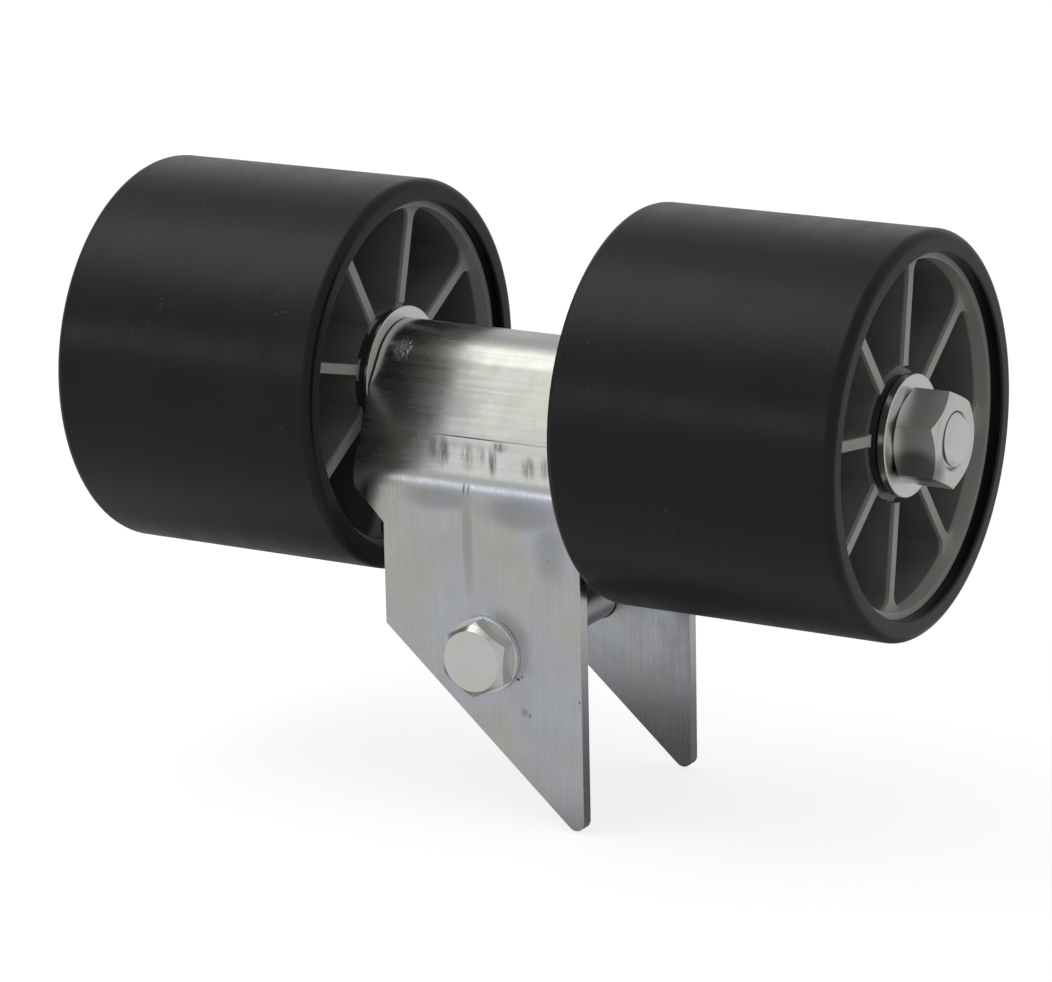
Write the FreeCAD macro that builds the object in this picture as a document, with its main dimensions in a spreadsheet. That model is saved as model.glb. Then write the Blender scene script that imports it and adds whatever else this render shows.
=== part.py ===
import FreeCAD, Part
import math
import os

import Sketcher

# Double roller: two ribbed rollers turn on one through bolt, carried by a folded saddle bracket
# whose two cheeks hang down on each side of a pivot bolt.
# Frame: origin on the pivot bolt's axis midway between the cheeks, X along the roller axle
# towards its nut, Y along the pivot bolt towards its nut, Z up. Millimetres and degrees.

DIMENSIONS = {
    # rollers
    "roller_diameter": 140.0,
    "roller_width": 107.0,
    "roller_gap": 93.5,
    "tyre_wall": 7.8,
    "tyre_lip": 4.7,
    "tyre_round": 3.4,
    "rim_wall": 2.4,
    "rib_inset": 4.0,
    "rib_wall": 3.6,
    "rib_flare": 5.0,
    "rib_root": 2.5,
    "pocket_count": 8,
    "web_wall": 6.0,
    "rib_step": 0.8,
    "boss_diameter": 44.8,
    "boss_sink": 2.5,
    "outer_recess_diameter": 46.6,
    "inner_recess_diameter": 50.0,
    "right_rib_turn": 37.3,
    "left_rib_turn": 30.7,
    # bushes in the hubs
    "bush_diameter": 30.0,
    "bush_length": 26.0,
    "outer_flange_diameter": 40.0,
    "outer_flange_wall": 2.4,
    "inner_flange_diameter": 44.0,
    "inner_flange_wall": 4.8,
    "running_clearance": 0.05,
    "inner_side_clearance": 0.2,
    "outer_side_clearance": 1.1,
    # axle bolt, its nut and washers
    "axle_diameter": 20.0,
    "axle_hex": 30.0,
    "axle_head_height": 12.5,
    "axle_head_turn": 11.0,
    "axle_nut_height": 16.0,
    "axle_nut_turn": 35.0,
    "axle_thread_end": 1.8,
    "axle_end_chamfer": 2.7,
    "inner_washer_diameter": 48.8,
    "inner_washer_wall": 1.6,
    "outer_washer_diameter": 42.0,
    "outer_washer_wall": 3.0,
    "washer_clearance": 0.5,
    "thread_clearance": 0.05,
    "nut_countersink": 0.5,
    # tube under the saddle
    "tube_diameter": 30.0,
    "tube_wall": 4.0,
    "tube_overhang": 0.4,
    "seat_clearance": 0.1,
    # folded saddle bracket
    "axle_rise": 85.0,
    "pivot_offset": 5.5,
    "plate_wall": 5.0,
    "cheek_gap": 73.0,
    "flank_angle": 34.0,
    "bend_radius": 15.0,
    "saddle_taper": 3.8,
    "shoulder_drop": 31.0,
    "notch_angle": 45.0,
    "cheek_left": 41.0,
    "cheek_right": 38.0,
    "left_foot": 5.7,
    "foot_angle": 41.4,
    "tip_radius": 3.4,
    # pivot bolt, its nut and washers
    "pivot_diameter": 16.0,
    "pivot_hole_clearance": 0.25,
    "pivot_hex": 24.0,
    "pivot_head_height": 8.0,
    "pivot_head_turn": 33.0,
    "pivot_nut_height": 13.0,
    "pivot_nut_turn": 12.0,
    "pivot_thread_end": 4.0,
    "pivot_end_chamfer": 1.8,
    "pivot_washer_diameter": 27.6,
    "pivot_washer_wall": 2.5,
    # hexagons' turned corners, and how far every cutting outline runs past the metal
    "hex_chamfer_angle": 30.0,
    "hex_chamfer_inset": 0.5,
    "cut_margin": 1.0,
}

doc = FreeCAD.newDocument("double_roller")


def fill_sheet():
    """One row for each driving dimension, plus the places that several pieces share."""
    sheet = doc.addObject("Spreadsheet::Sheet", "Sizes")
    row = 1
    for name, value in DIMENSIONS.items():
        sheet.set("A%d" % row, name)
        sheet.set("B%d" % row, str(value))
        sheet.setAlias("B%d" % row, name)
        row += 1
    for name, formula in SHARED.items():
        sheet.set("A%d" % row, name)
        sheet.set("B%d" % row, "=" + formula)
        sheet.setAlias("B%d" % row, name)
        row += 1
    doc.recompute()
    return sheet


# Places worked out from the driving dimensions, each measured along X from the middle of the axle
# unless its name says otherwise.
SHARED = {
    "roller_middle": "(roller_gap + roller_width) / 2",
    "hub_radius": "roller_diameter / 2 - tyre_wall",
    "rim_half": "roller_width / 2 - tyre_lip",
    "rib_half": "rim_half - rib_inset",
    "boss_half": "rib_half - boss_sink",
    "outer_flange_half": "boss_half + outer_flange_wall",
    "inner_flange_half": "boss_half + inner_flange_wall",
    "pocket_inner": "boss_diameter / 2",
    "pocket_outer": "hub_radius - rim_wall",
    "outer_washer_seat": "roller_middle + outer_flange_half + outer_side_clearance",
    "outer_washer_face": "outer_washer_seat + outer_washer_wall",
    "inner_washer_seat": "roller_middle - inner_flange_half - inner_side_clearance",
    "tube_half": "inner_washer_seat - inner_washer_wall",
    "saddle_half": "tube_half - tube_overhang",
    "saddle_radius": "tube_diameter / 2 + seat_clearance + plate_wall",
    "cheek_face": "cheek_gap / 2 + plate_wall",
    "shoulder_drop_sharp": "(cheek_face - saddle_radius / cos(flank_angle)) / tan(flank_angle)",
    "apex_rise": "saddle_radius / sin(flank_angle)",
    "washer_bore": "axle_diameter / 2 + washer_clearance",
    "tip_depth": "(cheek_left + cheek_right) * tan(foot_angle) - left_foot",
    "pivot_washer_face": "cheek_face + pivot_washer_wall",
}


def sized(text):
    """Formula text in which each name is read from the sheet."""
    out = []
    word = ""
    for letter in text + " ":
        if letter.isalnum() or letter == "_":
            word += letter
            continue
        known = word in DIMENSIONS or word in SHARED
        out.append("Sizes." + word if known else word)
        out.append(letter)
        word = ""
    return "".join(out).strip()


def value(text):
    """Number that a formula of sheet names stands for."""
    result = sheet.evalExpression(sized(text))
    return float(getattr(result, "Value", result))


def bind(feature, prop, text):
    """Bind one property of a feature to a formula of sheet names."""
    feature.setExpression(prop, sized(text))


def new_body(label, along_x="0", up="0"):
    """Body with its own place in the frame, bound to the sheet."""
    body = doc.addObject("PartDesign::Body", label)
    body.Label = label
    bind(body, "Placement.Base.x", along_x)
    bind(body, "Placement.Base.z", up)
    return body


def origin_part(body, role):
    """Plane or axis of the body's own origin."""
    return next(item for item in body.Origin.OriginFeatures if item.Role == role)


def new_sketch(body, name, plane):
    sketch = body.newObject("Sketcher::SketchObject", name)
    sketch.AttachmentSupport = [(origin_part(body, plane), "")]
    sketch.MapMode = "FlatFace"
    return sketch


def hold_point(sketch, geometry, point, name, across, along):
    """Fix one point of a sketch at two formulas."""
    for kind, axis, letter, text in (("DistanceX", -2, "u", across), ("DistanceY", -1, "v", along)):
        if text == "0":
            sketch.addConstraint(Sketcher.Constraint("PointOnObject", geometry, point, axis))
            continue
        number = sketch.addConstraint(
            Sketcher.Constraint(kind, -1, 1, geometry, point, value(text)))
        sketch.renameConstraint(number, letter + name)
        bind(sketch, "Constraints." + letter + name, text)


def polygon(sketch, corners):
    """Closed outline through corners given as pairs of formulas."""
    places = [FreeCAD.Vector(value(across), value(along), 0) for across, along in corners]
    first = sketch.GeometryCount
    count = len(corners)
    for index in range(count):
        sketch.addGeometry(Part.LineSegment(places[index], places[(index + 1) % count]), False)
    for index in range(count):
        following = first + (index + 1) % count
        sketch.addConstraint(Sketcher.Constraint("Coincident", first + index, 2, following, 1))
    for index, (across, along) in enumerate(corners):
        hold_point(sketch, first + index, 1, str(first + index), across, along)


def circle(sketch, radius):
    """Circle about the sketch's origin."""
    shape = Part.Circle(FreeCAD.Vector(0, 0, 0), FreeCAD.Vector(0, 0, 1), value(radius))
    number = sketch.addGeometry(shape, False)
    sketch.addConstraint(Sketcher.Constraint("Coincident", number, 3, -1, 1))
    size = sketch.addConstraint(Sketcher.Constraint("Radius", number, value(radius)))
    sketch.renameConstraint(size, "radius")
    bind(sketch, "Constraints.radius", radius)


def feature(body, kind, name, sketch):
    made = body.newObject("PartDesign::" + kind, name)
    made.Profile = sketch
    sketch.Visibility = False
    return made


def volume(body):
    """Volume of a body as it stands, nothing before its first feature."""
    doc.recompute()
    return 0.0 if body.Shape.isNull() else body.Shape.Volume


def turn(body, name, corners, cut=False):
    """Turn an outline in the XY plane about the body's X axis."""
    before = volume(body)
    sketch = new_sketch(body, name + "_outline", "XY_Plane")
    polygon(sketch, corners)
    made = feature(body, "Groove" if cut else "Revolution", name, sketch)
    made.ReferenceAxis = (sketch, ["H_Axis"])
    made.Angle = 360
    after = volume(body)
    if (after < before) != cut:
        raise RuntimeError(body.Label + ": " + name + " worked the wrong way")
    return made


def ring(body, name, inner, outer, start, end):
    """Turned ring between two radii and two places along X."""
    return turn(body, name, [(start, inner), (end, inner), (end, outer), (start, outer)])


def near(first, second):
    return abs(first - second) < 1e-4


def round_edges(body, base, name, radius, wanted, kind="Fillet"):
    """Round or chamfer the edges of the last feature that a test picks."""
    names = []
    for index, edge in enumerate(base.Shape.Edges):
        if wanted(edge):
            names.append("Edge%d" % (index + 1))
    if not names:
        raise RuntimeError(body.Label + ": no edge found for " + name)
    made = body.newObject("PartDesign::" + kind, name)
    made.Base = (base, names)
    bind(made, "Radius" if kind == "Fillet" else "Size", radius)
    doc.recompute()
    return made


def hexagon(sketch, flats, turned):
    """Regular hexagon about the sketch's origin, given across its flats."""
    corners = []
    for step in range(6):
        angle = "(%s + %d)" % (turned, 60 * step)
        reach = "(%s / 2 / cos(30))" % flats
        corners.append((reach + " * cos" + angle, reach + " * sin" + angle))
    polygon(sketch, corners)


def tyre(side, middle):
    """Black sleeve, open at both ends, its lip standing past the hub."""
    body = new_body("tyre_" + side, middle, "axle_rise")
    base = ring(body, "sleeve", "hub_radius", "roller_diameter / 2",
                "-roller_width / 2", "roller_width / 2")
    outside = value("roller_diameter / 2")
    return round_edges(body, base, "shoulders", "tyre_round",
                       lambda edge: near(edge.BoundBox.YMax, outside) and edge.Length > outside)


def hub(side, middle, rib_turn):
    """Moulded hub: rim, web and boss in one piece with pockets between the ribs on each face,
    and the ribs stepped down round the boss to clear the bush's flange there."""
    body = new_body("hub_" + side, middle, "axle_rise")
    outward = 1 if side == "right" else -1
    inner_face = hub_face(-outward, [
        ("boss_half", "boss_diameter / 2"),
        ("(rib_half - rib_step)", "boss_diameter / 2"),
        ("(rib_half - rib_step)", "inner_recess_diameter / 2"),
        ("rib_half", "inner_recess_diameter / 2"),
    ])
    outer_face = hub_face(outward, [
        ("boss_half", "outer_recess_diameter / 2"),
        ("rib_half", "outer_recess_diameter / 2"),
    ])
    turn(body, "blank", inner_face + outer_face[::-1])
    for face, sign in (("right", 1), ("left", -1)):
        before = volume(body)
        sketch = new_sketch(body, face + "_pocket_outline", "YZ_Plane")
        pocket_outline(sketch)
        bind(sketch, "AttachmentOffset.Base.z", "%d * rib_half" % sign)
        bind(sketch, "AttachmentOffset.Rotation.Angle", rib_turn + " + 180 / pocket_count")
        pocket = feature(body, "Pocket", face + "_pocket", sketch)
        pocket.Reversed = sign < 0
        bind(pocket, "Length", "rib_half - web_wall / 2")
        if volume(body) >= before:
            raise RuntimeError(body.Label + ": pocket cuts nothing")
        pattern = body.newObject("PartDesign::PolarPattern", face + "_pockets")
        pattern.Originals = [pocket]
        pattern.Axis = (origin_part(body, "X_Axis"), [""])
        pattern.Angle = 360
        bind(pattern, "Occurrences", "pocket_count")
        body.Tip = pattern
        doc.recompute()
    return body


def hub_face(sign, steps):
    """Outline of one face of the hub, from the bush's hole out to the rim; sign is 1 or -1
    along X, and steps are the corners where the ribs step down round the boss."""
    corners = [("boss_half", "bush_diameter / 2")] + steps + [
        ("rib_half", "pocket_outer"),
        ("rim_half", "pocket_outer"),
        ("rim_half", "hub_radius"),
    ]
    return [("%d * %s" % (sign, along), radius) for along, radius in corners]


def pocket_outline(sketch):
    """Space between two ribs, drawn about the sketch's X axis: straight along each rib, arcs
    along the rim and the boss, and rounded corners that flare each rib into both."""
    half_rib = value("rib_wall / 2")
    lean = math.pi / value("pocket_count")
    walls = {}
    for name, radius in (("rim", "pocket_outer"), ("boss", "pocket_inner")):
        whole = Part.Circle(FreeCAD.Vector(0, 0, 0), FreeCAD.Vector(0, 0, 1), value(radius))
        walls[name] = sketch.addGeometry(Part.ArcOfCircle(whole, -lean / 2, lean / 2), False)
        sketch.addConstraint(Sketcher.Constraint("Coincident", walls[name], 3, -1, 1))
        size_constraint(sketch, "Radius", name, radius, walls[name])
    for side, side_name in ((1, "high"), (-1, "low")):
        corners = []
        for name, wall, size, inward in (("rim", "pocket_outer", "rib_flare", -1),
                                         ("boss", "pocket_inner", "rib_root", 1)):
            rounding = value(size)
            reach = value(wall) + inward * rounding
            along = math.sqrt(reach ** 2 - (half_rib + rounding) ** 2)
            centre = from_rib(along, half_rib + rounding, lean, side)
            on_rib = from_rib(along, half_rib, lean, side)
            on_wall = centre * (value(wall) / reach)
            middle = corner_middle(centre, on_rib, on_wall)
            arc = sketch.addGeometry(Part.Arc(on_rib, middle, on_wall), False)
            size_constraint(sketch, "Radius", "%s_%s" % (side_name, size), size, arc)
            smooth_join(sketch, arc, walls[name], on_wall, 2 if side > 0 else 1)
            corners.append((arc, on_rib))
        line = sketch.addGeometry(Part.LineSegment(corners[1][1], corners[0][1]), False)
        for arc, on_rib in corners:
            smooth_join(sketch, arc, line, on_rib, nearest_end(sketch, line, on_rib))
        size_constraint(sketch, "Angle", side_name + "_lean",
                        "%d * 180 deg / pocket_count" % side, line)
        size_constraint(sketch, "Distance", side_name + "_half_rib", "rib_wall / 2", -1, 1, line)


def from_rib(along, across, lean, side):
    """Point of the pocket given along and across the rib that bounds it."""
    return FreeCAD.Vector(along * math.cos(lean) + across * math.sin(lean),
                          side * (along * math.sin(lean) - across * math.cos(lean)), 0)


def corner_middle(centre, first, second):
    """Middle of the short arc about a centre from one point to another."""
    middle = (first + second) / 2 - centre
    return centre + middle * ((first - centre).Length / middle.Length)


def nearest_end(sketch, number, place):
    """1 if a line or arc starts at a place, 2 if it ends there."""
    start, finish = (sketch.getPoint(number, end) for end in (1, 2))
    return 1 if (start - place).Length < (finish - place).Length else 2


def smooth_join(sketch, arc, other, place, other_end):
    """Join an arc to another line or arc end to end without a corner."""
    sketch.addConstraint(Sketcher.Constraint(
        "Tangent", arc, nearest_end(sketch, arc, place), other, other_end))


def size_constraint(sketch, kind, name, text, *geometry):
    """Named constraint bound to a formula."""
    number = math.radians(value(text)) if kind == "Angle" else value(text)
    made = sketch.addConstraint(Sketcher.Constraint(kind, *geometry, number))
    sketch.renameConstraint(made, name)
    bind(sketch, "Constraints." + name, text)


def bush(side, end, middle, face):
    """Flanged plastic bush pressed into the inner or outer end of a hub; face is 1 or -1
    along X."""
    body = new_body("bush_%s_%s" % (side, end), middle, "axle_rise")
    inward = "%d * (boss_half - bush_length)" % face
    seat = "%d * boss_half" % face
    front = "%d * %s_flange_half" % (face, end)
    bore = "axle_diameter / 2 + running_clearance"
    turn(body, "bush", [
        (inward, bore),
        (front, bore),
        (front, end + "_flange_diameter / 2"),
        (seat, end + "_flange_diameter / 2"),
        (seat, "bush_diameter / 2"),
        (inward, "bush_diameter / 2"),
    ])
    return body


def washer(label, start, wall, diameter):
    """Flat washer on the axle from one place along X."""
    body = new_body(label, "-pivot_offset", "axle_rise")
    ring(body, "washer", "washer_bore", diameter + " / 2", start, start + " + " + wall)
    return body


def axle_bolt():
    """Through bolt: hexagon head at the left end, thread under the nut at the right end."""
    body = new_body("axle_bolt", "-pivot_offset", "axle_rise")
    end = "(outer_washer_face + axle_nut_height + axle_thread_end)"
    turn(body, "shank", [
        ("-outer_washer_face", "0"),
        (end, "0"),
        (end, "axle_diameter / 2 - axle_end_chamfer"),
        (end + " - axle_end_chamfer", "axle_diameter / 2"),
        ("-outer_washer_face", "axle_diameter / 2"),
    ])
    start = "(-outer_washer_face - axle_head_height)"
    sketch = new_sketch(body, "head_outline", "YZ_Plane")
    hexagon(sketch, "axle_hex", "axle_head_turn")
    bind(sketch, "AttachmentOffset.Base.z", start)
    pad = feature(body, "Pad", "head", sketch)
    bind(pad, "Length", "axle_head_height")
    doc.recompute()
    turn_corners(body, "head_corners", "axle_hex", start, 1)
    return body


def turn_corners(body, name, flats, face, inward):
    """Turn off a hexagon's corners at one face; inward is 1 or -1 along X into the metal."""
    inner = "(%s / 2 - hex_chamfer_inset)" % flats
    outer = "(%s / 2 / cos(30) + cut_margin)" % flats
    depth = "(%s - %s) * tan(hex_chamfer_angle)" % (outer, inner)
    turn(body, name, [(face, inner), (face, outer), (face + " + %d * " % inward + depth, outer)],
         cut=True)


def axle_nut():
    """Hexagon nut, its corners turned off at both faces."""
    body = new_body("axle_nut", "-pivot_offset", "axle_rise")
    hex_nut(body, "axle_hex", "axle_nut_height", "axle_nut_turn", "outer_washer_face",
            "axle_diameter / 2 + thread_clearance")
    return body


def hex_nut(body, flats, height, turned, start, bore):
    sketch = new_sketch(body, "nut_outline", "YZ_Plane")
    hexagon(sketch, flats, turned)
    bind(sketch, "AttachmentOffset.Base.z", start)
    pad = feature(body, "Pad", "nut", sketch)
    bind(pad, "Length", height)
    doc.recompute()
    end = "(%s + %s)" % (start, height)
    turn_corners(body, "corners_end", flats, end, -1)
    turn_corners(body, "corners_start", flats, start, 1)
    flare = bore + " + nut_countersink"
    turn(body, "bore", [
        (start, "0"),
        (end, "0"),
        (end, flare),
        (end + " - nut_countersink", bore),
        (start + " + nut_countersink", bore),
        (start, flare),
    ], cut=True)


def pivot_fasteners():
    """Pivot bolt through both cheeks with its nut and two washers, turned about X and then
    laid along Y by each body's placement."""
    bolt = new_body("pivot_bolt")
    end = "(pivot_washer_face + pivot_nut_height + pivot_thread_end)"
    turn(bolt, "shank", [
        ("-pivot_washer_face", "0"),
        (end, "0"),
        (end, "pivot_diameter / 2 - pivot_end_chamfer"),
        (end + " - pivot_end_chamfer", "pivot_diameter / 2"),
        ("-pivot_washer_face", "pivot_diameter / 2"),
    ])
    start = "(-pivot_washer_face - pivot_head_height)"
    sketch = new_sketch(bolt, "head_outline", "YZ_Plane")
    hexagon(sketch, "pivot_hex", "pivot_head_turn")
    bind(sketch, "AttachmentOffset.Base.z", start)
    pad = feature(bolt, "Pad", "head", sketch)
    bind(pad, "Length", "pivot_head_height")
    doc.recompute()
    turn_corners(bolt, "head_corners", "pivot_hex", start, 1)

    nut = new_body("pivot_nut")
    hex_nut(nut, "pivot_hex", "pivot_nut_height", "pivot_nut_turn", "pivot_washer_face",
            "pivot_diameter / 2 + thread_clearance")

    washers = []
    for label, place in (("pivot_washer_head", "-pivot_washer_face"),
                         ("pivot_washer_nut", "cheek_face")):
        body = new_body(label)
        ring(body, "washer", "pivot_diameter / 2 + washer_clearance", "pivot_washer_diameter / 2",
             place, place + " + pivot_washer_wall")
        washers.append(body)
    for body in [bolt, nut] + washers:
        body.Placement = FreeCAD.Placement(FreeCAD.Vector(0, 0, 0),
                                           FreeCAD.Rotation(FreeCAD.Vector(0, 0, 1), 90))
    return [bolt, nut] + washers


def axle_tube():
    """Tube that the saddle is folded over and the axle bolt runs through."""
    body = new_body("axle_tube", "-pivot_offset", "axle_rise")
    ring(body, "tube", "tube_diameter / 2 - tube_wall", "tube_diameter / 2", "-tube_half", "tube_half")
    return body


def bracket():
    """One folded plate: a round saddle over the tube, flanks that spread, and two flat cheeks."""
    body = new_body("bracket")
    apex = "axle_rise + apex_rise"
    shoulder = "axle_rise - shoulder_drop_sharp"
    sketch = new_sketch(body, "section", "YZ_Plane")
    polygon(sketch, [
        ("-cheek_face", "-tip_depth"),
        ("cheek_face", "-tip_depth"),
        ("cheek_face", shoulder),
        ("0", apex),
        ("-cheek_face", shoulder),
    ])
    bind(sketch, "AttachmentOffset.Base.z", "-pivot_offset")
    block = feature(body, "Pad", "block", sketch)
    block.Midplane = True
    bind(block, "Length", "2 * saddle_half")
    doc.recompute()
    apex_height = value(apex)
    shoulder_height = value(shoulder)
    rounded = round_edges(body, block, "saddle", "saddle_radius",
                          lambda edge: near(edge.BoundBox.ZMin, apex_height))
    folded = round_edges(body, rounded, "bends", "bend_radius",
                         lambda edge: near(edge.BoundBox.ZMin, shoulder_height)
                         and near(edge.BoundBox.ZMax, shoulder_height))
    open_faces = []
    for index, face in enumerate(folded.Shape.Faces):
        normal = face.normalAt(0, 0)
        if near(abs(normal.x), 1) or near(normal.z, -1):
            open_faces.append("Face%d" % (index + 1))
    shell = body.newObject("PartDesign::Thickness", "plate")
    shell.Base = (folded, open_faces)
    shell.Reversed = True
    shell.Join = 0
    bind(shell, "Value", "plate_wall")
    doc.recompute()
    return body


def bracket_cuts(body):
    """Side outline of the cheeks, the pivot holes and the rounded tips."""
    left = "(-pivot_offset - saddle_half)"
    right = "(-pivot_offset + saddle_half)"
    left_foot = "(%s + saddle_taper)" % left
    right_foot = "(%s - saddle_taper)" % right
    shoulder = "(axle_rise - shoulder_drop)"
    below = "(-tip_depth - cut_margin)"
    left_of_plate = left + " - cut_margin"
    right_of_plate = right + " + cut_margin"
    sketch = new_sketch(body, "outline_cut", "XZ_Plane")
    polygon(sketch, [
        (left_of_plate, "axle_rise"),
        (left, "axle_rise"),
        (left_foot, shoulder),
        ("-cheek_left", shoulder + " - (-cheek_left - %s) * tan(notch_angle)" % left_foot),
        ("-cheek_left", "left_foot"),
        ("cheek_right", "-tip_depth"),
        ("cheek_right", below),
        (left_of_plate, below),
    ])
    polygon(sketch, [
        (right_of_plate, "axle_rise"),
        (right, "axle_rise"),
        (right_foot, shoulder),
        ("cheek_right", shoulder + " - (%s - cheek_right) * tan(notch_angle)" % right_foot),
        ("cheek_right", below + " + cut_margin / 2"),
        (right_of_plate, below + " + cut_margin / 2"),
    ])
    before = volume(body)
    cut = feature(body, "Pocket", "outline", sketch)
    cut.Type = "ThroughAll"
    cut.Midplane = True
    if volume(body) >= before:
        raise RuntimeError("bracket: outline cuts nothing")
    tip = value("-tip_depth")
    side = value("cheek_right")
    tips = round_edges(body, cut, "tips", "tip_radius",
                       lambda edge: near(edge.BoundBox.XMin, side) and near(edge.BoundBox.ZMax, tip)
                       and near(edge.BoundBox.ZMin, tip))
    before = volume(body)
    sketch = new_sketch(body, "pivot_hole_outline", "XZ_Plane")
    circle(sketch, "pivot_diameter / 2 + pivot_hole_clearance")
    hole = feature(body, "Pocket", "pivot_holes", sketch)
    hole.Type = "ThroughAll"
    hole.Midplane = True
    if volume(body) >= before:
        raise RuntimeError("bracket: pivot hole cuts nothing")
    return tips


sheet = fill_sheet()
right_middle = "-pivot_offset + roller_middle"
left_middle = "-pivot_offset - roller_middle"

for side, middle, rib_turn in (("left", left_middle, "left_rib_turn"),
                               ("right", right_middle, "right_rib_turn")):
    outward = 1 if side == "right" else -1
    tyre(side, middle)
    hub(side, middle, rib_turn)
    bush(side, "outer", middle, outward)
    bush(side, "inner", middle, -outward)

washer("washer_outer_right", "outer_washer_seat", "outer_washer_wall", "outer_washer_diameter")
washer("washer_outer_left", "-outer_washer_face", "outer_washer_wall", "outer_washer_diameter")
washer("washer_inner_right", "tube_half", "inner_washer_wall", "inner_washer_diameter")
washer("washer_inner_left", "-inner_washer_seat", "inner_washer_wall", "inner_washer_diameter")
axle_bolt()
axle_nut()
axle_tube()
bracket_cuts(bracket())
pivot_fasteners()


def write_parts():
    """Check every object and write each body to its own file."""
    doc.recompute()
    for item in doc.Objects:
        if "Invalid" in item.State or "Error" in item.State:
            raise RuntimeError("%s failed: %s" % (item.Label, item.State))
    os.makedirs("parts", exist_ok=True)
    for body in doc.Objects:
        if body.TypeId != "PartDesign::Body":
            continue
        shape = body.Shape
        if shape.isNull() or not shape.isValid():
            raise RuntimeError(body.Label + " is null or not valid")
        shape.exportStep(os.path.join("parts", body.Label + ".step"))
        print(body.Label, len(shape.Solids), round(shape.Volume, 1))


write_parts()
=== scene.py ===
import functools
import math

import bmesh
import bpy
from bpy.props import FloatProperty, FloatVectorProperty, IntProperty, PointerProperty
from mathutils import Matrix, Vector


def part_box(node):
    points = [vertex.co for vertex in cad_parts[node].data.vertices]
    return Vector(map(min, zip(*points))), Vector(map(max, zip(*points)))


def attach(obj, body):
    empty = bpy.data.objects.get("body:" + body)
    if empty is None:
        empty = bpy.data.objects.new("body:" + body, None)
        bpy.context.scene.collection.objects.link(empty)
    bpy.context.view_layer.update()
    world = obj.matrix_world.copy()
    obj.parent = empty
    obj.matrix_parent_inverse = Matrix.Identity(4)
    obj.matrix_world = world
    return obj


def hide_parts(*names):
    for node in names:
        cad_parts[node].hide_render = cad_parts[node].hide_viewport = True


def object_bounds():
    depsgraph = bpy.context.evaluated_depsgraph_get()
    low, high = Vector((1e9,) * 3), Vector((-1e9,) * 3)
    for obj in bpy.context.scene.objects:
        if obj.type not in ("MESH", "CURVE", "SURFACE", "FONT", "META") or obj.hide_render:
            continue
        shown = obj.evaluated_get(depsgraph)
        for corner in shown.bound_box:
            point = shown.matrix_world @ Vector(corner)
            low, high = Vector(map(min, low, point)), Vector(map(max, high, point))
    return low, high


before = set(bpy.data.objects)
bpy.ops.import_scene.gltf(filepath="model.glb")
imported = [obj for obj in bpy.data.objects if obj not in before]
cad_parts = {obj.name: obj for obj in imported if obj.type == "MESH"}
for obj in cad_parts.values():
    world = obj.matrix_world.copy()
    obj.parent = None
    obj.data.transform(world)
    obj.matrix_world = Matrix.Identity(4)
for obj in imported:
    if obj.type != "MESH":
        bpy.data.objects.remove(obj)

bl_info = {
    "name": "Double roller",
    "version": (1, 0, 0),
    "blender": (4, 5, 0),
    "location": "3D View > Sidebar > Double roller",
    "description": "Dresses the double roller: rubber sleeves, ribbed hubs, zinc bracket and fasteners",
    "category": "Object",
}

# Metres, in the part's own frame: X along the axle towards its nut, Y along the pivot bolt
# towards its nut, Z up.
CAD_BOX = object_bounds()
MM = 0.001
SIDES = ("left", "right")

# Degrees between two faces: sharper edges stay sharp, get a bevel, or count as flat
SMOOTH_ANGLE = 35
BEVEL_ANGLE = 32
FLAT_ANGLE = 0.4
BEVEL_SEGMENTS = 2

# Vertices closer than this are one, and two places closer than a hair are level
MERGE_DISTANCE = 1e-6
HAIR = 0.01 * MM

# A face looks along an axis above this cosine; a rim may leave its radius by this share
FACING = 0.9
RIM_TOLERANCE = 0.004

# Threads: depth and half width as shares of the pitch, steps in a turn, sides of the core,
# how far thread and shank overlap inside the nut, and the ridge's place behind the tip
THREAD_DEPTH = 0.6134
THREAD_HALF_WIDTH = 0.47
THREAD_STEPS = 40
CORE_SIDES = 64
THREAD_OVERLAP = 0.5 * MM
TIP_GAP = 0.05 * MM

# Bolt head: how far behind its face the turned corners end
CORNER_DEPTH = 2.0 * MM


def axle_centre():
    """Point on the axle's axis, at X 0."""
    low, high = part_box("washer_inner_left")
    return Vector((0, (low.y + high.y) / 2, (low.z + high.z) / 2))


AXLE = axle_centre()
PIVOT = Vector((0, 0, 0))
ALONG_X = Vector((1, 0, 0))
ALONG_Y = Vector((0, 1, 0))


# Sizes and colours that a user would change


def colour_value(name, description, default):
    """Colour that the panel shows."""
    return FloatVectorProperty(name=name, description=description, default=default, size=3,
                               subtype="COLOR", min=0, max=1)


def length_value(name, description, default):
    """Length that the panel shows."""
    return FloatProperty(name=name, description=description, default=default, unit="LENGTH", min=0)


def share_value(name, description, default):
    """Share from 0 to 1 that the panel shows."""
    return FloatProperty(name=name, description=description, default=default, subtype="FACTOR",
                         min=0, max=1)


class RubberSettings(bpy.types.PropertyGroup):
    """Black sleeves of the two rollers."""

    colour: colour_value("Rubber", "Colour of clean rubber", (0.0044, 0.0042, 0.0049))
    worn_colour: colour_value("Handled rubber", "Colour where the rubber was handled",
                              (0.0066, 0.0063, 0.0062))
    dust_colour: colour_value("Dust", "Colour of the dust specks", (0.16, 0.155, 0.145))
    roughness: share_value("Roughness", "Roughness of clean rubber", 0.30)
    shine: share_value("Shine", "Strength of the rubber's reflections", 0.27)
    shoulder: length_value("Shoulder", "Rounding of the outer shoulders", 3.4 * MM)
    lip_round: length_value("Lip", "Rounding of the inner lips", 0.9 * MM)
    facets: IntProperty(name="Facets", description="Facets round a sleeve", default=240, min=48)


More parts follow.
